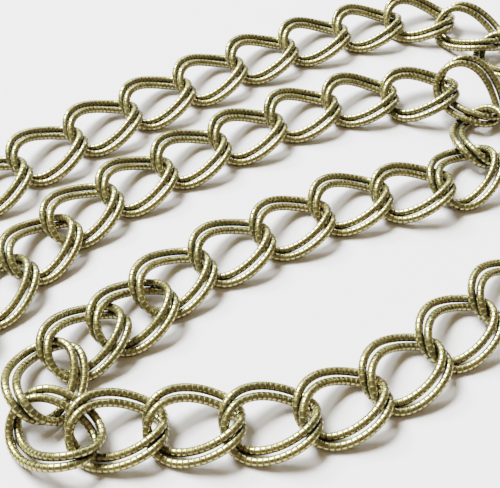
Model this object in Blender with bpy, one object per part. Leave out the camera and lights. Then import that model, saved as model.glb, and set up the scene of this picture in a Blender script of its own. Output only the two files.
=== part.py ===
"""Heap of iron chain: one long double-link curb chain, laid in rows on a table.

Each double link is two like rings of notched round wire, twisted along their
length so that they lie flat, side by side and touching. Each hooks through the
next one. Links are placed along a route chosen by hand, then eased a little
apart wherever their wires would meet. Metres, +Z up, on the table at z = 0.
"""

import math

import bmesh
import bpy
import numpy as np
from mathutils import Matrix

MM = 0.001

# The wire and one ring
WIRE = 1.3 * MM
HALF_LENGTH = 6.85 * MM
HALF_WIDTH = 4.85 * MM
TWIST = 1.5 * MM
RING_POINTS = 16

# How the two rings of a link lie to each other, and to the way the chain runs
BESIDE = 1.6 * MM
BELOW = 0.35 * MM
AHEAD = 0.13 * MM
LEAN = math.radians(10.0)
NOSE = math.radians(-2.0)
YAW = math.radians(4.0)
SECOND_NOSE = math.radians(4.0)
SECOND_YAW = math.radians(2.0)

# Middle of each link in mm, from one end of the chain to the other
RIGHT_END = [(66.5, 16.5), (63.0, 27.0), (58.0, 37.0)]
FIRST_ROW = [
    (51.5, 46.3), (45.2, 55.8), (35.2, 60.0), (25.9, 58.1), (15.1, 54.2), (4.2, 49.3), (-6.8, 42.4),
    (-17.5, 34.7), (-28.1, 27.1), (-38.5, 19.0), (-46.6, 10.6),
]
LEFT_TURN = [(-54.8, 2.5), (-62.5, -5.0), (-64.0, -15.0), (-57.0, -22.5), (-47.0, -21.0)]
SECOND_ROW = [
    (-40.6, -11.3), (-34.7, -2.4), (-28.7, 5.3), (-19.8, 12.5), (-10.8, 19.2), (-0.4, 25.1), (10.0, 31.1),
    (21.0, 34.9), (32.3, 35.5),
]
RIGHT_TURN = [(42.0, 34.5), (43.3, 24.3)]
THIRD_ROW = [
    (37.9, 13.8), (28.2, 10.4), (17.3, 7.8), (7.2, 2.5), (-3.0, -3.1), (-12.4, -9.6), (-18.3, -16.7),
    (-25.3, -21.3), (-30.2, -29.2),
]
FOURTH_ROW = [
    (-28.0, -37.8), (-19.0, -37.0), (-8.0, -36.4), (3.0, -36.0), (13.5, -33.1), (23.0, -27.1), (31.8, -19.9),
    (41.6, -11.8), (52.0, -5.0),
]
ROUTE = RIGHT_END + FIRST_ROW + LEFT_TURN + SECOND_ROW + RIGHT_TURN + THIRD_ROW + FOURTH_ROW

# At the right turn one link stands up, and the next hangs from it: heading, lean, nose, lift
STANDING = len(RIGHT_END + FIRST_ROW + LEFT_TURN + SECOND_ROW)
SET_BY_HAND = {
    STANDING: (math.radians(-34.0), math.radians(18.0), math.radians(20.0), 2.0 * MM),
    STANDING + 1: (math.radians(80.0), 0.0, 0.0, 0.0),
}

# Easing: the room kept between wires, the points and stretches tested on each
# ring, how far apart two links can still meet, and the arm of a link's spin
ROOM = 1.1 * WIRE
TESTED_POINTS = 48
STRETCHES = 6
REACH = 16.5 * MM
SPIN_ARM = 4.6 * MM

# Easing: how many steps, for what share of them the links are held, what one
# step sinks a link, how strongly it is held, and how touches share their moves
EASINGS = 600
HELD_SHARE = 0.75
SINK = 0.008 * MM
HOLD_PLACE = 0.05
HOLD_TURN = 0.015
TOUCH_SHARE = 0.35

# Meshing: six-sided wire, the distance under which points are one, and the
# angle over which an edge stays sharp
WIRE_BEVEL = 1
ONE_POINT = 0.01 * MM
SHARP_OVER = math.radians(70.0)


def turn_matrices(vectors):
    """Rotation matrices, one for each rotation vector."""
    angle = np.linalg.norm(vectors, axis=1)
    axis = vectors / np.maximum(angle, 1e-12)[:, None]
    cross = np.zeros((len(vectors), 3, 3))
    cross[:, 0, 1], cross[:, 0, 2] = -axis[:, 2], axis[:, 1]
    cross[:, 1, 0], cross[:, 1, 2] = axis[:, 2], -axis[:, 0]
    cross[:, 2, 0], cross[:, 2, 1] = -axis[:, 1], axis[:, 0]
    sine = np.sin(angle)[:, None, None]
    rest = (1 - np.cos(angle))[:, None, None]
    return np.eye(3) + sine * cross + rest * (cross @ cross)


def turn(x=0.0, y=0.0, z=0.0):
    """One matrix: lean about X and Y together, then turn about Z."""
    lean = turn_matrices(np.array([[x, y, 0.0]]))[0]
    return turn_matrices(np.array([[0.0, 0.0, z]]))[0] @ lean


def link_lines(count):
    """The centre lines of a link's two rings, about the link's middle."""
    t = np.linspace(0.0, 2 * math.pi, count, endpoint=False)
    ring = np.stack([HALF_LENGTH * np.cos(t), HALF_WIDTH * np.sin(t), -TWIST * np.sin(2 * t)], axis=1)
    half = 0.5 * np.array([AHEAD, -BESIDE, -BELOW])
    first = ring @ turn(LEAN, NOSE, YAW).T - half
    second = ring @ turn(LEAN, NOSE + SECOND_NOSE, YAW + SECOND_YAW).T + half
    return np.stack([first, second])


def lay_links():
    """Each link's middle and its turning matrix, before it is eased."""
    places = np.array(ROUTE) * MM
    before = np.vstack([2 * places[0] - places[1], places[:-1]])
    after = np.vstack([places[1:], 2 * places[-1] - places[-2]])
    run = after - before
    run[run[:, 0] < 0] *= -1
    heading = np.arctan2(run[:, 1], run[:, 0])
    turns = turn_matrices(np.column_stack([0 * heading, 0 * heading, heading]))
    height = 0.5 * WIRE - link_lines(TESTED_POINTS)[..., 2].min()
    middles = np.column_stack([places, np.full(len(places), height)])
    for link, (way, lean, nose, lift) in SET_BY_HAND.items():
        turns[link] = turn(lean, nose, way)
        middles[link, 2] += lift
    return middles, turns


def rings_to_test(middles):
    """Pairs of rings that may meet, as link, ring, link, ring."""
    tests = []
    for i in range(len(middles)):
        for j in range(i + 1, len(middles)):
            if j == i + 1 or np.linalg.norm(middles[i, :2] - middles[j, :2]) < REACH:
                tests += [(i, a, j, b) for a in (0, 1) for b in (0, 1)]
    return np.array(tests).T


def nearest_points(one, other):
    """For each stretch of the first ring, its point nearest to the other ring."""
    count = one.shape[1]
    middle = one.mean(axis=1, keepdims=True)
    p, q = one - middle, other - middle
    square = (p ** 2).sum(2)[:, :, None] + (q ** 2).sum(2)[:, None] - 2 * p @ q.transpose(0, 2, 1)
    part = count // STRETCHES
    best = square.reshape(len(one), STRETCHES, part * count).argmin(2)
    row = np.arange(len(one))[:, None]
    here = one[row, best // count + part * np.arange(STRETCHES)]
    there = other[row, best % count]
    return here, there


def push_apart(middles, lines, tests):
    """Small moves and turns that give touching wires and the table their room."""
    moves = np.zeros_like(middles)
    spins = np.zeros_like(middles)
    touches = np.zeros(len(middles))

    def push(link, arm, way, amount):
        torque = np.cross(arm, way)
        np.add.at(moves, link, amount[:, None] * way)
        np.add.at(spins, link, amount[:, None] * torque / SPIN_ARM ** 2)
        np.add.at(touches, link, 1)

    def ease_of(arm, way):
        return 1 + (np.cross(arm, way) ** 2).sum(1) / SPIN_ARM ** 2

    one, ring_one, other, ring_other = tests
    here, there = nearest_points(lines[one, ring_one], lines[other, ring_other])
    gap = np.linalg.norm(here - there, axis=2)
    hit, stretch = np.nonzero(gap < ROOM)
    here, there, gap = here[hit, stretch], there[hit, stretch], gap[hit, stretch]
    way = (here - there) / gap[:, None]
    arm_one, arm_other = here - middles[one[hit]], there - middles[other[hit]]
    amount = (ROOM - gap) / (ease_of(arm_one, way) + ease_of(arm_other, way))
    push(one[hit], arm_one, way, amount)
    push(other[hit], arm_other, -way, amount)

    for ring in (0, 1):
        lowest = lines[:, ring, :, 2].argmin(1)
        foot = lines[np.arange(len(lines)), ring, lowest]
        sunk = np.nonzero(foot[:, 2] < 0.5 * WIRE)[0]
        arm = foot[sunk] - middles[sunk]
        up = np.tile([0.0, 0.0, 1.0], (len(sunk), 1))
        push(sunk, arm, up, (0.5 * WIRE - foot[sunk, 2]) / ease_of(arm, up))

    share = 1 / np.maximum(1.0, TOUCH_SHARE * touches)[:, None]
    return share * moves, share * spins


def ease_links():
    """Lets each link move a little until every wire has its room."""
    middles, turns = lay_links()
    laid_middles, laid_turns = middles.copy(), turns.copy()
    shape = link_lines(TESTED_POINTS)
    tests = rings_to_test(middles)
    for step in range(EASINGS):
        lines = np.einsum("nij,rkj->nrki", turns, shape) + middles[:, None, None]
        moves, spins = push_apart(middles, lines, tests)
        middles += moves
        turns = turn_matrices(spins) @ turns
        hold = max(0.0, 1 - step / (HELD_SHARE * EASINGS))
        middles[:, 2] -= SINK * hold
        middles[:, :2] += HOLD_PLACE * hold * (laid_middles - middles)[:, :2]
        back = laid_turns @ turns.transpose(0, 2, 1)
        away = np.stack([back[:, 2, 1] - back[:, 1, 2], back[:, 0, 2] - back[:, 2, 0],
                         back[:, 1, 0] - back[:, 0, 1]], axis=1)
        turns = turn_matrices(HOLD_TURN * hold * away) @ turns
    return middles, turns


def centred(middles, turns):
    """The middles moved so that the heap's box is centred on the origin."""
    lines = np.einsum("nij,rkj->nrki", turns, link_lines(RING_POINTS)) + middles[:, None, None]
    low, high = lines.min(axis=(0, 1, 2)), lines.max(axis=(0, 1, 2))
    return middles - np.array([0.5 * (low[0] + high[0]), 0.5 * (low[1] + high[1]), 0.0])


def clear_scene():
    for thing in list(bpy.data.objects):
        bpy.data.objects.remove(thing, do_unlink=True)


def make_brass():
    """Antique brass plate on iron wire: olive gold, worn bright on the crests."""
    material = bpy.data.materials.new("antique_brass_plate")
    material.use_nodes = True
    shader = material.node_tree.nodes["Principled BSDF"]
    shader.inputs["Base Color"].default_value = (0.36, 0.31, 0.17, 1.0)
    shader.inputs["Metallic"].default_value = 1.0
    shader.inputs["Roughness"].default_value = 0.38
    return material


def make_ring(name, points, collection):
    """One ring of round wire, as a closed curve made into a mesh."""
    curve = bpy.data.curves.new(name, "CURVE")
    curve.dimensions = "3D"
    curve.bevel_depth = 0.5 * WIRE
    curve.bevel_resolution = WIRE_BEVEL
    spline = curve.splines.new("POLY")
    spline.points.add(len(points) - 1)
    for point, place in zip(spline.points, points):
        point.co = (*place, 1.0)
    spline.use_cyclic_u = True
    bent = bpy.data.objects.new(name + "_curve", curve)
    collection.objects.link(bent)
    graph = bpy.context.evaluated_depsgraph_get()
    mesh = bpy.data.meshes.new_from_object(bent.evaluated_get(graph))
    bpy.data.objects.remove(bent, do_unlink=True)
    ring = bpy.data.objects.new(name, mesh)
    collection.objects.link(ring)
    return ring


def make_link_mesh(collection):
    """The mesh that all double links share: two rings joined where they touch."""
    first_line, second_line = link_lines(RING_POINTS)
    first = make_ring("first_ring", first_line, collection)
    second = make_ring("second_ring", second_line, collection)
    joint = first.modifiers.new("touching_rings", "BOOLEAN")
    joint.operation = "UNION"
    joint.object = second
    graph = bpy.context.evaluated_depsgraph_get()
    mesh = bpy.data.meshes.new_from_object(first.evaluated_get(graph))
    mesh.name = "double_link"
    for helper in (first, second):
        bpy.data.objects.remove(helper, do_unlink=True)
    work = bmesh.new()
    work.from_mesh(mesh)
    bmesh.ops.remove_doubles(work, verts=work.verts, dist=ONE_POINT)
    work.to_mesh(mesh)
    work.free()
    return mesh


def build_chain():
    chain = bpy.data.collections.new("heap_of_iron_chain")
    bpy.context.scene.collection.children.link(chain)
    mesh = make_link_mesh(chain)
    mesh.materials.clear()
    mesh.materials.append(make_brass())
    mesh.shade_smooth()
    mesh.set_sharp_from_angle(angle=SHARP_OVER)
    table = bpy.data.objects.new("chain_on_table", None)
    chain.objects.link(table)
    middles, turns = ease_links()
    for number, (middle, way) in enumerate(zip(centred(middles, turns), turns), start=1):
        link = bpy.data.objects.new(f"double_link_{number:02d}", mesh)
        link.rotation_euler = Matrix(way.tolist()).to_euler()
        link.location = middle.tolist()
        link.parent = table
        chain.objects.link(link)


clear_scene()
build_chain()
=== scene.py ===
# %% [markdown]
# # A heap of double-link wire chain
# The real thing is a long craft chain. Every link is a pair of oval rings of notched
# iron wire, twisted so that they lie flat, and plated in antique brass. It lies in four
# winding rows on a white table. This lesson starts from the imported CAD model, which holds
# plain rings in their places, and dresses each link with notched, plated wire.

import math

import bpy
import numpy as np
from mathutils import Matrix, Vector


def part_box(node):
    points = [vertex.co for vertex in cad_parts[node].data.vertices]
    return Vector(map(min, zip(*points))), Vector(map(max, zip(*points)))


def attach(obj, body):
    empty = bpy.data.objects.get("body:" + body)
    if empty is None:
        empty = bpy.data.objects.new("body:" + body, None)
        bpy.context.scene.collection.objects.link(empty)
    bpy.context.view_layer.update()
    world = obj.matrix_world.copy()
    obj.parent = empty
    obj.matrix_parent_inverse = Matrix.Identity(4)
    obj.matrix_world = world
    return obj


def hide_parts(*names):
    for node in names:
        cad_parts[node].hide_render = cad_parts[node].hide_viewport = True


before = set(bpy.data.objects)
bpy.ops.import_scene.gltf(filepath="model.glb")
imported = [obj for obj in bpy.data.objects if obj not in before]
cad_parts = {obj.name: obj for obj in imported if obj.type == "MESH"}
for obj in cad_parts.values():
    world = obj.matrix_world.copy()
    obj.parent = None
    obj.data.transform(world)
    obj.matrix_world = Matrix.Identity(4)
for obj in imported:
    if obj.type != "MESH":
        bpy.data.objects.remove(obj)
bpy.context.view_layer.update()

# %% [markdown]
# ## The sizes of the wire and of a link
# A chain is made from one wire and one former, so a handful of sizes gives all of it.
# They are the CAD source's own. A ring's centre line is an oval whose sides are twisted
# up and down by a sine, which is what lets the links lie flat, as in a curb chain.

# %% Sizes in metres
MM = 0.001
WIRE = 1.3 * MM
HALF_LENGTH = 6.85 * MM
HALF_WIDTH = 4.85 * MM
TWIST = 1.5 * MM
BESIDE = 1.6 * MM
BELOW = 0.35 * MM
AHEAD = 0.13 * MM
LEAN = math.radians(10.0)
NOSE = math.radians(-2.0)
YAW = math.radians(4.0)
SECOND_NOSE = math.radians(4.0)
SECOND_YAW = math.radians(2.0)
RING_POINTS = 16

# %% [markdown]
# ## Turning things with matrices
# A rotation vector points along the axis and is as long as the angle. One formula turns a
# whole table of such vectors into matrices, which is quick enough to lay every link at once.

# %% Rotation helpers
NO_ANGLE = 1e-12


def turn_matrices(vectors):
    """Rotation matrices, one for each rotation vector."""
    angle = np.linalg.norm(vectors, axis=1)
    axis = vectors / np.maximum(angle, NO_ANGLE)[:, None]
    cross = np.zeros((len(vectors), 3, 3))
    cross[:, 0, 1], cross[:, 0, 2] = -axis[:, 2], axis[:, 1]
    cross[:, 1, 0], cross[:, 1, 2] = axis[:, 2], -axis[:, 0]
    cross[:, 2, 0], cross[:, 2, 1] = -axis[:, 1], axis[:, 0]
    sine = np.sin(angle)[:, None, None]
    rest = (1 - np.cos(angle))[:, None, None]
    return np.eye(3) + sine * cross + rest * (cross @ cross)


def turn(x=0.0, y=0.0, z=0.0):
    """One matrix: lean about X and Y together, then turn about Z."""
    lean = turn_matrices(np.array([[x, y, 0.0]]))[0]
    return turn_matrices(np.array([[0.0, 0.0, z]]))[0] @ lean


def ring_lines(t):
    """The centre lines of a link's two rings at angles t, about the link's middle."""
    oval = HALF_LENGTH * np.cos(t), HALF_WIDTH * np.sin(t)
    ring = np.stack([*oval, -TWIST * np.sin(2 * t)], axis=1)
    half = 0.5 * np.array([AHEAD, -BESIDE, -BELOW])
    first = ring @ turn(LEAN, NOSE, YAW).T - half
    second = ring @ turn(LEAN, NOSE + SECOND_NOSE, YAW + SECOND_YAW).T + half
    return np.stack([first, second])


def link_lines(count):
    """The same lines at a number of angles, evenly round the rings."""
    return ring_lines(np.linspace(0.0, 2 * math.pi, count, endpoint=False))


# %% Measure a ring
TESTED_POINTS = 48
ring_box = np.ptp(link_lines(TESTED_POINTS)[0], axis=0)
print("a ring is", np.round((ring_box + WIRE) / MM, 1), "mm over its wire")

# %% [markdown]
# ## Laying the chain along its route
# The chain was laid by hand, so its route is a list of places, read off the photograph
# row by row. Neighbours give each link its heading. At the right-hand turn one link
# stands up and the next hangs from it, so those two are given their own tilt.

# %% The route in mm, from one end of the chain to the other
RIGHT_END = [(66.5, 16.5), (63.0, 27.0), (58.0, 37.0)]
FIRST_ROW = [
    (51.5, 46.3), (45.2, 55.8), (35.2, 60.0), (25.9, 58.1), (15.1, 54.2), (4.2, 49.3),
    (-6.8, 42.4), (-17.5, 34.7), (-28.1, 27.1), (-38.5, 19.0), (-46.6, 10.6),
]
LEFT_TURN = [(-54.8, 2.5), (-62.5, -5.0), (-64.0, -15.0), (-57.0, -22.5), (-47.0, -21.0)]
SECOND_ROW = [
    (-40.6, -11.3), (-34.7, -2.4), (-28.7, 5.3), (-19.8, 12.5), (-10.8, 19.2),
    (-0.4, 25.1), (10.0, 31.1), (21.0, 34.9), (32.3, 35.5),
]
RIGHT_TURN = [(42.0, 34.5), (43.3, 24.3)]
THIRD_ROW = [
    (37.9, 13.8), (28.2, 10.4), (17.3, 7.8), (7.2, 2.5), (-3.0, -3.1),
    (-12.4, -9.6), (-18.3, -16.7), (-25.3, -21.3), (-30.2, -29.2),
]
FOURTH_ROW = [
    (-28.0, -37.8), (-19.0, -37.0), (-8.0, -36.4), (3.0, -36.0), (13.5, -33.1),
    (23.0, -27.1), (31.8, -19.9), (41.6, -11.8), (52.0, -5.0),
]
ROUTE = RIGHT_END + FIRST_ROW + LEFT_TURN + SECOND_ROW + RIGHT_TURN + THIRD_ROW + FOURTH_ROW
STANDING = len(RIGHT_END + FIRST_ROW + LEFT_TURN + SECOND_ROW)

# Heading, lean, nose and lift of the two links at the right-hand turn.
SET_BY_HAND = {
    STANDING: (math.radians(-34.0), math.radians(18.0), math.radians(20.0), 2.0 * MM),
    STANDING + 1: (math.radians(80.0), 0.0, 0.0, 0.0),
}


# %% Lay the links on the route
def lay_links():
    """Each link's middle and its turning matrix, before it is eased."""
    places = np.array(ROUTE) * MM
    before = np.vstack([2 * places[0] - places[1], places[:-1]])
    after = np.vstack([places[1:], 2 * places[-1] - places[-2]])
    run = after - before
    # Every heading points right, so the lower ring of a pair is on the viewer's side.
    run[run[:, 0] < 0] *= -1
    heading = np.arctan2(run[:, 1], run[:, 0])
    turns = turn_matrices(np.column_stack([0 * heading, 0 * heading, heading]))
    height = 0.5 * WIRE - link_lines(TESTED_POINTS)[..., 2].min()
    middles = np.column_stack([places, np.full(len(places), height)])
    for link, (way, lean, nose, lift) in SET_BY_HAND.items():
        turns[link] = turn(lean, nose, way)
        middles[link, 2] += lift
    return middles, turns


print("links on the route:", len(ROUTE))

# %% [markdown]
# ## Easing the links apart
# Laid on a route alone, the wires would run through each other where links hook. A real
# link slides and rocks a little, so each step pushes any two wires that are too near apart,
# and lets the links sink to the table. The CAD source eases its links by the same steps,
# so every link here ends very near its CAD node, and the distance is measured below.

# %% Settings of the easing
ROOM = 1.1 * WIRE
STRETCHES = 6
REACH = 16.5 * MM
SPIN_ARM = 4.6 * MM
EASINGS = 600
HELD_SHARE = 0.75
SINK = 0.008 * MM
HOLD_PLACE = 0.05
HOLD_TURN = 0.015
TOUCH_SHARE = 0.35


# %% Find which rings may meet, and where they are nearest
def rings_to_test(middles):
    """Pairs of rings that may meet, as link, ring, link, ring."""
    tests = []
    for i in range(len(middles)):
        for j in range(i + 1, len(middles)):
            apart = np.linalg.norm(middles[i, :2] - middles[j, :2])
            if j == i + 1 or apart < REACH:
                tests += [(i, a, j, b) for a in (0, 1) for b in (0, 1)]
    return np.array(tests).T


def nearest_points(one, other):
    """For each stretch of the first ring, its point nearest to the other ring."""
    count = one.shape[1]
    middle = one.mean(axis=1, keepdims=True)
    p, q = one - middle, other - middle
    squares = (p ** 2).sum(2)[:, :, None] + (q ** 2).sum(2)[:, None]
    square = squares - 2 * p @ q.transpose(0, 2, 1)
    part = count // STRETCHES
    best = square.reshape(len(one), STRETCHES, part * count).argmin(2)
    row = np.arange(len(one))[:, None]
    here = one[row, best // count + part * np.arange(STRETCHES)]
    there = other[row, best % count]
    return here, there


# %% One small push wherever two wires, or a wire and the table, are too near
def push_apart(middles, lines, tests):
    """Small moves and turns that give touching wires and the table their room."""
    moves = np.zeros_like(middles)
    spins = np.zeros_like(middles)
    touches = np.zeros(len(middles))

    def push(link, arm, way, amount):
        torque = np.cross(arm, way)
        np.add.at(moves, link, amount[:, None] * way)
        np.add.at(spins, link, amount[:, None] * torque / SPIN_ARM ** 2)
        np.add.at(touches, link, 1)

    def ease_of(arm, way):
        return 1 + (np.cross(arm, way) ** 2).sum(1) / SPIN_ARM ** 2

    one, ring_one, other, ring_other = tests
    here, there = nearest_points(lines[one, ring_one], lines[other, ring_other])
    gap = np.linalg.norm(here - there, axis=2)
    hit, stretch = np.nonzero(gap < ROOM)
    here, there, gap = here[hit, stretch], there[hit, stretch], gap[hit, stretch]
    way = (here - there) / gap[:, None]
    arm_one, arm_other = here - middles[one[hit]], there - middles[other[hit]]
    amount = (ROOM - gap) / (ease_of(arm_one, way) + ease_of(arm_other, way))
    push(one[hit], arm_one, way, amount)
    push(other[hit], arm_other, -way, amount)

    for ring in (0, 1):
        lowest = lines[:, ring, :, 2].argmin(1)
        foot = lines[np.arange(len(lines)), ring, lowest]
        sunk = np.nonzero(foot[:, 2] < 0.5 * WIRE)[0]
        arm = foot[sunk] - middles[sunk]
        up = np.tile([0.0, 0.0, 1.0], (len(sunk), 1))
        push(sunk, arm, up, (0.5 * WIRE - foot[sunk, 2]) / ease_of(arm, up))

    share = 1 / np.maximum(1.0, TOUCH_SHARE * touches)[:, None]
    return share * moves, share * spins


# %% Ease the links
def lines_in_place(middles, turns, shape):
    """The centre lines of every link's rings, each in its link's place."""
    return np.einsum("nij,rkj->nrki", turns, shape) + middles[:, None, None]


def ease_links():
    """Moves and turns each link in many small steps, to give its wires their room."""
    middles, turns = lay_links()
    laid_middles, laid_turns = middles.copy(), turns.copy()
    shape = link_lines(TESTED_POINTS)
    tests = rings_to_test(middles)
    for step in range(EASINGS):
        lines = lines_in_place(middles, turns, shape)
        moves, spins = push_apart(middles, lines, tests)
        middles += moves
        turns = turn_matrices(spins) @ turns
        hold = max(0.0, 1 - step / (HELD_SHARE * EASINGS))
        middles[:, 2] -= SINK * hold
        middles[:, :2] += HOLD_PLACE * hold * (laid_middles - middles)[:, :2]
        back = laid_turns @ turns.transpose(0, 2, 1)
        away = np.stack([back[:, 2, 1] - back[:, 1, 2], back[:, 0, 2] - back[:, 2, 0],
                         back[:, 1, 0] - back[:, 0, 1]], axis=1)
        turns = turn_matrices(HOLD_TURN * hold * away) @ turns
    return middles, turns


laid, link_turns = ease_links()
print("easing moved links by up to", round(np.abs(laid - lay_links()[0]).max() / MM, 1), "mm")


# %% Centre the heap as the CAD source does, and compare the links with the nodes
def heap_middle(middles, turns):
    """The middle of the heap's box on the table, which the CAD source moves to the origin."""
    lines = lines_in_place(middles, turns, link_lines(RING_POINTS))
    low, high = lines.min(axis=(0, 1, 2)), lines.max(axis=(0, 1, 2))
    return np.array([0.5 * (low[0] + high[0]), 0.5 * (low[1] + high[1]), 0.0])


TABLE_SHIFT = heap_middle(laid, link_turns)
link_middles = laid - TABLE_SHIFT
NODES = [f"double_link_{number:02d}" for number in range(1, len(ROUTE) + 1)]


def off_node(link):
    """How far a link's middle is from the middle of its CAD node's box."""
    line = link_lines(RING_POINTS) @ link_turns[link].T + link_middles[link]
    middle = 0.5 * (line.min(axis=(0, 1)) + line.max(axis=(0, 1)))
    return np.abs(np.array(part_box(NODES[link])).mean(axis=0) - middle).max()


furthest = max(off_node(link) for link in range(len(NODES)))
print("links are within", round(furthest / MM, 2), "mm of their CAD nodes")

# %% [markdown]
# ## The camera
# The photographer looked down at the table at about 49 degrees, from about 17 cm away. The
# wire grows from row to row toward the viewer, which shows how far above the picture the
# table's horizon would be. The angle was chosen to fit the shape of the rings. Horizon and
# angle give the lens, and then the wire's width in pixels gives the distance.

# %% Camera at the photograph's place
PHOTO_WIDTH = 500
HORIZON_PIXELS = 1130.0
VIEW_HEIGHT = math.radians(49.0)
FOCAL_PIXELS = HORIZON_PIXELS / math.tan(VIEW_HEIGHT)
VIEW_DISTANCE = 166.6 * MM
SENSOR = 36.0
CLIP_START = 10.0 * MM

camera_data = bpy.data.cameras.new("table_camera")
camera_data.sensor_width = SENSOR
camera_data.lens = FOCAL_PIXELS * SENSOR / PHOTO_WIDTH
camera_data.clip_start = CLIP_START
camera = bpy.data.objects.new("table_camera", camera_data)
bpy.context.scene.collection.objects.link(camera)
aim = Vector((-TABLE_SHIFT[0], -TABLE_SHIFT[1], 0.0))
toward = Vector((0.0, -math.cos(VIEW_HEIGHT), math.sin(VIEW_HEIGHT)))
camera.location = aim + VIEW_DISTANCE * toward
camera.rotation_euler = (-toward).to_track_quat("-Z", "Y").to_euler()
bpy.context.scene.camera = camera
print("lens", round(camera_data.lens, 1), "mm, aimed at", [round(v / MM, 1) for v in aim])

# %% [markdown]
# ## One notch of wire
# Before it is coiled into rings, the wire runs between rollers that press a fine groove
# across it every 0.9 mm or so. One groove and the wire up to the next is modelled once: a
# circle is extruded along X and scaled at each step, like turning a bead on a lathe. The
# wire swells only slightly between grooves and the grooves have sharp edges, because in
# the photograph each notch shines as a flat block with a crisp line on either side.

# %% Helpers for working as by hand
def deselect_all():
    bpy.ops.object.select_all(action="DESELECT")


def only(piece):
    """Selects one object and makes it the active one."""
    deselect_all()
    piece.select_set(True)
    bpy.context.view_layer.objects.active = piece


def apply_modifier(piece, kind, **settings):
    """Gives an object a modifier with some settings, and applies it."""
    only(piece)
    modifier = piece.modifiers.new(kind.lower(), kind)
    for name, value in settings.items():
        setattr(modifier, name, value)
    bpy.ops.object.modifier_apply(modifier=modifier.name)


# %% Sizes of the notches
NOTCHES = 45
GROOVE_DEPTH = 0.046 * WIRE
SWELL = 0.010 * WIRE
GROOVE_HALF_WIDTH = 0.055 * WIRE
JOINT_GAP = 0.11 * MM
MEASURED_POINTS = 721

round_once = np.linspace(0.0, 2 * math.pi, MEASURED_POINTS)
ring_steps = np.diff(ring_lines(round_once)[0], axis=0)
RING_LENGTH = np.linalg.norm(ring_steps, axis=1).sum()
PITCH = (RING_LENGTH - JOINT_GAP) / NOTCHES
print("a ring's wire is", round(RING_LENGTH / MM, 2), "mm long")
print("there is a notch every", round(PITCH / MM, 3), "mm")

# %% Model one notch, open at both ends
SIDES = 16


def model_notch():
    """A tube from one groove's bottom to the next, by extruding and scaling a circle."""
    radius = 0.5 * WIRE - GROOVE_DEPTH
    deselect_all()
    bpy.ops.mesh.primitive_circle_add(
        vertices=SIDES, radius=radius, rotation=(0.0, math.pi / 2, 0.0))
    notch = bpy.context.object
    notch.name = "one_notch"
    bpy.ops.object.transform_apply(location=False, rotation=True, scale=False)
    bpy.ops.object.mode_set(mode="EDIT")
    bpy.ops.mesh.select_all(action="SELECT")
    stops = [(GROOVE_HALF_WIDTH, 0.5 * WIRE - SWELL), (0.5 * PITCH, 0.5 * WIRE),
             (PITCH - GROOVE_HALF_WIDTH, 0.5 * WIRE - SWELL), (PITCH, radius)]
    here, size = 0.0, radius
    for place, next_size in stops:
        bpy.ops.mesh.extrude_region_move(
            TRANSFORM_OT_translate={"value": (place - here, 0.0, 0.0)})
        scale = next_size / size
        bpy.ops.transform.resize(value=(1.0, scale, scale), center_override=(place, 0.0, 0.0))
        here, size = place, next_size
    bpy.ops.object.mode_set(mode="OBJECT")
    return notch


straight_wire = model_notch()
print("one notch has", len(straight_wire.data.polygons), "faces")

# %% [markdown]
# ## A ring's length of wire
# An Array modifier repeats the notch and merges each end to the next. The wire is cut off
# square, as pliers leave it, so both ends are closed with a face. That could be done with
# the modifier's caps, but selecting the open edges and filling them needs no extra object.

# %% Repeat the notch, then close the cut ends
MERGE_WITHIN = 0.001 * MM


def close_ends(wire):
    """Fills the open circle at each end of a tube."""
    only(wire)
    bpy.ops.object.mode_set(mode="EDIT")
    bpy.ops.mesh.select_all(action="DESELECT")
    bpy.ops.mesh.select_mode(type="EDGE")
    bpy.ops.mesh.select_non_manifold()
    bpy.ops.mesh.edge_face_add()
    bpy.ops.mesh.select_all(action="SELECT")
    bpy.ops.mesh.normals_make_consistent(inside=False)
    bpy.ops.object.mode_set(mode="OBJECT")


apply_modifier(straight_wire, "ARRAY", count=NOTCHES,
               use_relative_offset=False, use_constant_offset=True,
               constant_offset_displace=(PITCH, 0.0, 0.0),
               use_merge_vertices=True, merge_threshold=MERGE_WITHIN)
straight_wire.name = "straight_wire"
close_ends(straight_wire)
wire_mesh = straight_wire.data
print("straight wire:", len(wire_mesh.vertices), "points,", len(wire_mesh.polygons), "faces")

# %% [markdown]
# ## Notes that the finish will need
# The finish has to know where a groove is, and which notch a point is on, also after the
# wire is bent. So they are written on the straight wire as attributes, which the mesh
# carries along: "groove" is 1 at a groove's bottom and 0 on the swell, and "along" counts
# notches from the cut end. Shading is smooth round the wire, but only up to an angle that
# leaves the edges of the grooves crisp.

# %% Helpers for points and attributes
def points_of(mesh):
    """The places of a mesh's points, as a table."""
    places = np.empty(3 * len(mesh.vertices), np.float32)
    mesh.vertices.foreach_get("co", places)
    return places.reshape(-1, 3).astype(float)


def write_attribute(mesh, name, values):
    """Keeps one number for each point of a mesh under a name."""
    attribute = mesh.attributes.get(name) or mesh.attributes.new(name, "FLOAT", "POINT")
    attribute.data.foreach_set("value", np.asarray(values, np.float32))


# %% Write attributes on the straight wire
SMOOTH_UP_TO = math.radians(23.5)


def note_grooves(wire):
    """Writes how deep in a groove each point is, and how many notches along."""
    places = points_of(wire.data)
    radius = np.hypot(places[:, 1], places[:, 2])
    depth = (0.5 * WIRE - SWELL - radius) / (GROOVE_DEPTH - SWELL)
    write_attribute(wire.data, "groove", np.clip(depth, 0.0, 1.0))
    write_attribute(wire.data, "along", places[:, 0] / PITCH)


note_grooves(straight_wire)
only(straight_wire)
bpy.ops.object.shade_smooth_by_angle(angle=SMOOTH_UP_TO)
straight_wire.data.transform(Matrix.Translation((0.5 * JOINT_GAP, 0.0, 0.0)))
print("attributes:", [a.name for a in straight_wire.data.attributes if a.data_type == "FLOAT"])

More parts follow.
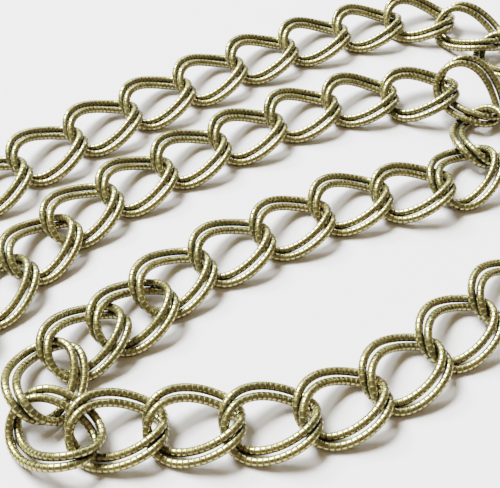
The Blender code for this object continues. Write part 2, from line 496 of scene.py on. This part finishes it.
# %% [markdown]
# ## Bending the wire into a ring
# A Curve modifier bends a mesh that lies along X so that X runs along a curve. The curve
# goes once round the ring, from the cut, and near the cut it steps a little sideways, as
# the two ends of a real ring never meet quite true. Each ring has its cut somewhere else.

# %% Draw the curve that a ring is bent along
BEND_POINTS = 120
JOINT_STEP = 0.14 * MM
STEP_POWER = 9


def ring_guide(ring, start):
    """A curve once round one of a link's two lines, from the cut at angle start."""
    angles = np.linspace(0.0, 2 * math.pi, BEND_POINTS + 1)
    path = ring_lines(start + angles)[ring]
    # The high power keeps the sideways step close to the two ends.
    ends = angles / math.pi - 1.0
    path[:, 2] += 0.5 * JOINT_STEP * ends ** STEP_POWER
    guide_data = bpy.data.curves.new("ring_guide", "CURVE")
    guide_data.dimensions = "3D"
    guide_data.twist_mode = "Z_UP"
    spline = guide_data.splines.new("POLY")
    spline.points.add(len(path) - 1)
    spline.points.foreach_set("co", np.column_stack([path, np.ones(len(path))]).ravel())
    guide = bpy.data.objects.new("ring_guide", guide_data)
    bpy.context.scene.collection.objects.link(guide)
    return guide


# %% Bend one ring
def bend_ring(ring, start):
    """A copy of the straight wire, bent round one of a link's two rings."""
    guide = ring_guide(ring, start)
    wire = bpy.data.objects.new("ring", straight_wire.data.copy())
    bpy.context.scene.collection.objects.link(wire)
    apply_modifier(wire, "CURVE", object=guide, deform_axis="POS_X")
    bpy.data.objects.remove(guide)
    return wire


# %% [markdown]
# ## Putting a pair of rings on every link
# Two bent rings are joined into one piece and moved to the link's place. The place goes
# into the mesh, so that the object itself stays at the origin like the CAD nodes. In the
# photograph some cuts seem to show, so those rings get theirs listed one by one. The others
# are cut where links hook, which mostly hides them, and vary a little by a sine.

# %% Where each ring is cut, in radians round the ring from its right-hand tip
CUTS_BY_HAND = {
    "double_link_29": (3.08, 0.4),
    "double_link_35": (3.14, 5.9),
    "double_link_40": (1.67, 0.45),
    "double_link_43": (0.19, 3.7),
    "double_link_44": (6.2, 3.5),
    "double_link_45": (6.24, 3.6),
    "double_link_46": (0.30, 3.9),
}
CUTS_AT_HOOKS = (0.42, 3.60)
CUTS_VARY_BY = (0.06, 0.04)
VARY_STEP = 2.4


def cuts_of(link):
    """The cuts of a link's two rings."""
    vary = math.sin(VARY_STEP * link)
    at_hooks = tuple(cut + share * vary for cut, share in zip(CUTS_AT_HOOKS, CUTS_VARY_BY))
    return CUTS_BY_HAND.get(NODES[link], at_hooks)


print("cuts of the first link:", [round(cut, 2) for cut in cuts_of(0)])

# %% Model all the links
ALONG_STEP = NOTCHES + 5


def model_link(link):
    """A double link in its place: two bent rings joined into one object."""
    pair = [bend_ring(ring, start) for ring, start in enumerate(cuts_of(link))]
    for number, wire in enumerate(pair):
        # Each ring counts its notches from a number of its own, for a tone of its own.
        along = np.empty(len(wire.data.vertices), np.float32)
        wire.data.attributes["along"].data.foreach_get("value", along)
        write_attribute(wire.data, "along", along + ALONG_STEP * (2 * link + number))
    deselect_all()
    for wire in pair:
        wire.select_set(True)
    bpy.context.view_layer.objects.active = pair[0]
    bpy.ops.object.join()
    piece = pair[0]
    piece.name = f"notched_link_{link + 1:02d}"
    place = Matrix(link_turns[link].tolist()).to_4x4()
    place.translation = link_middles[link].tolist()
    piece.data.transform(place)
    return piece


links = [model_link(link) for link in range(len(ROUTE))]
bpy.data.objects.remove(straight_wire)
print(len(links), "double links,", sum(len(p.data.polygons) for p in links), "faces")

# %% [markdown]
# ## Where wires touch, and which side is up
# The finish paints shade on the undersides of the wires and where two wires meet, so each
# point gets two more attributes. The distance to the nearest other wire is measured once
# and kept as "touch": 1 against another wire, and 0 where that is 0.6 wires away or more.
# The direction that the surface faces gives "top": 1 straight up, 0 straight down.

# %% Measure how near each point is to other wires
TOUCH_REACH = 0.6 * WIRE
TOUCH_POINTS = 96


def distances(places, others):
    """How far each place is from the nearest of some other points."""
    squares = (places ** 2).sum(1)[:, None] + (others ** 2).sum(1)
    square = squares - 2 * places @ others.T
    return np.sqrt(np.maximum(square.min(1), 0.0))


def note_touch(piece, link, lines):
    """Writes how near each point of a link is to any other ring's wire."""
    places = points_of(piece.data)
    apart = np.linalg.norm(link_middles - link_middles[link], axis=1)
    rings = [(j, r) for j in np.nonzero(apart < REACH)[0] for r in (0, 1)]
    half = len(places) // 2
    nearest = np.empty(len(places))
    for ring, part in enumerate((slice(0, half), slice(half, None))):
        others = np.concatenate([lines[j, r] for j, r in rings if (j, r) != (link, ring)])
        nearest[part] = distances(places[part], others) - 0.5 * WIRE
    write_attribute(piece.data, "touch", np.clip(1 - nearest / TOUCH_REACH, 0.0, 1.0))


# %% Write both attributes on every link
def note_top(piece):
    """Writes how far up each point faces."""
    facing = np.empty(3 * len(piece.data.vertices), np.float32)
    piece.data.vertex_normals.foreach_get("vector", facing)
    write_attribute(piece.data, "top", 0.5 + 0.5 * facing[2::3])


touch_lines = lines_in_place(link_middles, link_turns, link_lines(TOUCH_POINTS))
for link, piece in enumerate(links):
    note_touch(piece, link, touch_lines)
    note_top(piece)
print("attributes:", [a.name for a in links[0].data.attributes if a.data_type == "FLOAT"])

# %% [markdown]
# ## Sums on sockets
# A finish is mostly sums on masks. This small class wraps an output socket, so that
# `1 - groove * 0.5` in Python adds the Math nodes for it. Everything else comes from its
# one method make(), which takes a node's type, its settings and its inputs.

# %% The socket class
class Shade:
    """An output socket that can be used in a Python expression."""

    def __init__(self, tree, socket=None):
        self.tree = tree
        self.socket = socket

    def make(self, kind, settings=None, inputs=None, output=0):
        """A new node's output, after the node's settings and inputs are set."""
        node = self.tree.nodes.new(kind)
        for name, value in (settings or {}).items():
            setattr(node, name, value)
        for name, value in (inputs or {}).items():
            if isinstance(value, Shade):
                self.tree.links.new(value.socket, node.inputs[name])
            else:
                node.inputs[name].default_value = value
        return Shade(self.tree, node.outputs[output])

    def maths(self, operation, first, second):
        return self.make("ShaderNodeMath", {"operation": operation}, {0: first, 1: second})

    def __add__(self, other):
        return self.maths("ADD", self, other)

    def __radd__(self, other):
        return self.maths("ADD", other, self)

    def __sub__(self, other):
        return self.maths("SUBTRACT", self, other)

    def __rsub__(self, other):
        return self.maths("SUBTRACT", other, self)

    def __mul__(self, other):
        return self.maths("MULTIPLY", self, other)

    def __rmul__(self, other):
        return self.maths("MULTIPLY", other, self)

    def clamp(self):
        return self.make("ShaderNodeClamp", inputs={0: self})

    def size(self):
        return self.make("ShaderNodeMath", {"operation": "ABSOLUTE"}, {0: self})

    def floor(self):
        return self.make("ShaderNodeMath", {"operation": "FLOOR"}, {0: self})

    def step(self, low, high):
        """0 under low, 1 over high, and smooth between."""
        return self.make("ShaderNodeMapRange", {"interpolation_type": "SMOOTHSTEP"},
                         {"Value": self, "From Min": low, "From Max": high})

    def mix(self, factor, first, second):
        """A colour between two, by a factor. Its sockets for colours go by number."""
        colours = {0: factor, 6: first, 7: second}
        return self.make("ShaderNodeMix", {"data_type": "RGBA"}, colours, output=2)

    def attribute(self, name):
        return self.make("ShaderNodeAttribute", {"attribute_name": name}, output="Fac")

    def noise(self, place, scale, detail):
        return self.make("ShaderNodeTexNoise", {"noise_dimensions": "3D"},
                         {"Vector": place, "Scale": scale, "Detail": detail})


def new_finish(name):
    """A material, its Principled shader and a Shade to build with."""
    finish = bpy.data.materials.new(name)
    finish.use_nodes = True
    return finish, finish.node_tree.nodes["Principled BSDF"], Shade(finish.node_tree)


# %% [markdown]
# ## Antique brass plate
# Antique brass is brass plate turned dark in a bath and then rubbed back with a cloth, to a
# pale olive gold, and the grooves keep their dark patina. On top of that, the undersides of
# the wires, the places where wires touch and the margins of each notch are darkened as
# painted shade. Every notch took the bath a little differently, so each has a tone of its
# own, and stains of two dull browns run under it all.

# %% Colours of the plate
RUBBED_GOLD = (0.47, 0.372, 0.143, 1.0)
OLIVE_PLATE = (0.27, 0.224, 0.080, 1.0)
BRONZE_PLATE = (0.335, 0.262, 0.090, 1.0)
# One dark colour serves the patina and the painted shade.
PATINA_AND_SHADE_DARK = (0.030, 0.031, 0.021, 1.0)

# %% Where a cloth rubs, where the patina stays, and where shade is painted
CLOUDS, STAINS, DENTS, SPECKS = 300.0, 130.0, 1100.0, 3200.0
# Darkness of the groove patina, of the painted shade at margins, touches and undersides, and of
# the specks.
DARK_IN_GROOVE, PAINTED_SHADE_AT_MARGIN = 0.5, 0.18
PAINTED_SHADE_AT_TOUCH, PAINTED_SHADE_UNDERNEATH, DARK_SPECKS = 0.75, 0.55, 0.1


def patina_and_painted_shade(nodes, touch, speck, margin):
    """How dark the plate is, from patina in grooves and specks and from painted shade at
    touches, undersides and notch margins: 0 none, 1 all.
    """
    groove_patina_and_margin_shade = nodes.attribute("groove").step(0.1, 0.9) * DARK_IN_GROOVE
    # Painted shade at the margins of each notch, next to the grooves, breaks the glints into
    # blocks.
    groove_patina_and_margin_shade = groove_patina_and_margin_shade + margin * PAINTED_SHADE_AT_MARGIN
    # Painted shade where wires touch.
    touch_shade = touch.step(0.2, 0.9) * PAINTED_SHADE_AT_TOUCH
    # Painted shade on the undersides of the wires.
    underside_shade = (1 - nodes.attribute("top").step(0.35, 0.75)) * PAINTED_SHADE_UNDERNEATH
    specks = speck.step(0.6, 0.75) * DARK_SPECKS
    return (groove_patina_and_margin_shade + touch_shade + underside_shade + specks).clamp()


def plate_colour(nodes, place, notch, speck, margin):
    """The colour of the plate, and how dark its patina and painted shade are."""
    touch = nodes.attribute("touch")
    clouds = nodes.noise(place, CLOUDS, 3.0).step(0.36, 0.64)
    # Random wear makes the gold, and it is taken away where wires touch, as painted shade.
    rubbed_less_touch_shade = (clouds * 0.5 + notch * 0.35 + speck * 0.15 - touch * 0.6).clamp()
    stains = nodes.noise(place, STAINS, 2.0).step(0.4, 0.6)
    bath = nodes.mix(stains, OLIVE_PLATE, BRONZE_PLATE)
    dark = patina_and_painted_shade(nodes, touch, speck, margin)
    return nodes.mix(dark, nodes.mix(rubbed_less_touch_shade, bath, RUBBED_GOLD), PATINA_AND_SHADE_DARK), dark


# %% [markdown]
# ## Gloss, lacquer and dents
# The middle of each notch holds a thin clear lacquer, while its margins next to the grooves
# are rougher, bare and darkened by painted shade. That breaks every glint into separate
# blocks. A perfectly round wire would reflect a window as one hard line, so shallow dents,
# as a Bump of noise, spread the glint. All varies along "along" and in object space, so
# nothing slides when the view turns.

# %% Make the finish and put it on every link
DENT_DEPTH = 0.055 * MM
PLATE_ROUGHNESS = 0.215
LACQUER_ROUGHNESS = 0.15
LACQUER_IOR = 2.0


def dents(nodes, place, speck):
    """Shallow dents and specks as a bump."""
    height = 0.60 * nodes.noise(place, DENTS, 2.0) + 0.40 * speck
    return nodes.make("ShaderNodeBump", inputs={
        "Strength": 1.0, "Distance": DENT_DEPTH, "Height": height})


def antique_brass():
    """The finish of every link."""
    finish, shader, nodes = new_finish("antique_brass_plate")
    place = nodes.make("ShaderNodeTexCoord", output="Object")
    along = nodes.attribute("along")
    notch = nodes.make("ShaderNodeTexWhiteNoise", {"noise_dimensions": "1D"},
                       {"W": along.floor()})
    margin = (along - along.floor() - 0.5).size().step(0.20, 0.40)
    speck = nodes.noise(place, SPECKS, 2.0)
    colour, dark = plate_colour(nodes, place, notch, speck, margin)
    rough = PLATE_ROUGHNESS + 0.05 * notch + 0.06 * speck + 0.20 * dark + 0.25 * margin
    lacquer = ((1 - margin) * (0.7 + 0.3 * speck.step(0.4, 0.6)) - dark * 0.6).clamp()
    feeds = {"Base Color": colour, "Roughness": rough, "Coat Weight": lacquer,
             "Normal": dents(nodes, place, speck)}
    for name, result in feeds.items():
        nodes.tree.links.new(result.socket, shader.inputs[name])
    shader.inputs["Metallic"].default_value = 1.0
    shader.inputs["Coat Roughness"].default_value = LACQUER_ROUGHNESS
    shader.inputs["Coat IOR"].default_value = LACQUER_IOR
    return finish


brass = antique_brass()
for piece in links:
    piece.data.materials.clear()
    piece.data.materials.append(brass)
print("finish with", len(brass.node_tree.nodes), "nodes")

# %% [markdown]
# ## The white table
# The photograph's table is a plain white sheet. It is part of the stage, not of the chain.
# Its paper is a little warm, because the window light on it is a little cool. It lies
# slightly low, because the round wires reach a hair lower than the CAD's plain ones.

# %% Floor
TABLE_SIZE = 3.0
TABLE_DROP = 0.04 * MM
SHEET_WHITE = (0.975, 0.862, 0.745, 1.0)
SHEET_ROUGHNESS = 0.7
SHEET_GLOSS = 0.2


def table_top():
    """A large flat sheet under the chain."""
    deselect_all()
    bpy.ops.mesh.primitive_plane_add(size=TABLE_SIZE, location=(0.0, 0.0, -TABLE_DROP))
    top = bpy.context.object
    top.name = "table_top"
    finish, shader, _ = new_finish("white_sheet")
    shader.inputs["Base Color"].default_value = SHEET_WHITE
    shader.inputs["Roughness"].default_value = SHEET_ROUGHNESS
    shader.inputs["Specular IOR Level"].default_value = SHEET_GLOSS
    top.data.materials.append(finish)
    return top


floor = table_top()
print("table top:", TABLE_SIZE, "m across")

# %% [markdown]
# ## Soft window light
# The lower arcs of the links shine near their upper edges, and the shadows fall softly
# toward the viewer and to the right, so a large window stands high at the back left. Two
# smaller, lower panes behind the chain put the rows of glints on the far edges of the
# wires. Little else lights the shadows, and that little is warm, so they turn brown.

# %% Lights
WINDOW_LIGHT = (0.86, 1.0, 1.19)
LAMP_LIGHT = (1.25, 1.0, 0.60)
ROOM_COLOUR = (1.0, 0.90, 0.68, 1.0)
ROOM_STRENGTH = 0.08
WINDOW_DISTANCE = 3.2
CEILING_DISTANCE = 1.1


def panel(name, direction, distance, size, power, colour):
    """A rectangular soft light at a distance in a direction, facing the chain."""
    data = bpy.data.lights.new(name, "AREA")
    data.shape = "RECTANGLE"
    data.size, data.size_y = size
    data.energy = power
    data.color = colour
    lamp = bpy.data.objects.new(name, data)
    bpy.context.scene.collection.objects.link(lamp)
    way = Vector(direction).normalized()
    lamp.location = distance * way
    lamp.rotation_euler = (-way).to_track_quat("-Z", "Y").to_euler()
    return lamp


lights = [
    panel("window", (-0.40, 0.40, 0.83), WINDOW_DISTANCE, (2.0, 0.9), 104.0, WINDOW_LIGHT),
    panel("near_window", (-0.50, 0.62, 0.60), WINDOW_DISTANCE, (1.0, 0.5), 31.0, WINDOW_LIGHT),
    panel("back_window", (0.15, 0.84, 0.54), WINDOW_DISTANCE, (2.2, 0.28), 11.0, WINDOW_LIGHT),
    panel("ceiling", (-0.45, 0.0, 1.0), CEILING_DISTANCE, (1.6, 1.6), 0.5, LAMP_LIGHT),
]
print(len(lights), "lights, of", round(sum(lamp.data.energy for lamp in lights), 1), "W in all")

# %% The room's own faint light
room = bpy.data.worlds.new("room")
bpy.context.scene.world = room
room.use_nodes = True
background = room.node_tree.nodes["Background"]
background.inputs["Color"].default_value = ROOM_COLOUR
background.inputs["Strength"].default_value = ROOM_STRENGTH
print("room light of strength", ROOM_STRENGTH)

# %% [markdown]
# ## The picture's tone
# A camera squeezes bright light, so that a glint on yellow metal turns cream instead of
# yellow. The plain display curve doesn't, but the Filmic curve does, and a bit of contrast
# brings back the dark gaps between the wires. The exposure then makes the table white.

# %% Tone curve
EXPOSURE = 1.30
view = bpy.context.scene.view_settings
view.view_transform = "Filmic"
view.look = "Medium High Contrast"
view.exposure = EXPOSURE
print("view:", view.view_transform, "/", view.look, "exposure", round(view.exposure, 2))

# %% [markdown]
# ## Handing the pieces over
# Each dressed link rides on the model's one body, and its CAD node is hidden.

# %% Ride, and hide the CAD node
for piece, node in zip(links, NODES):
    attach(piece, "root")
    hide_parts(node)
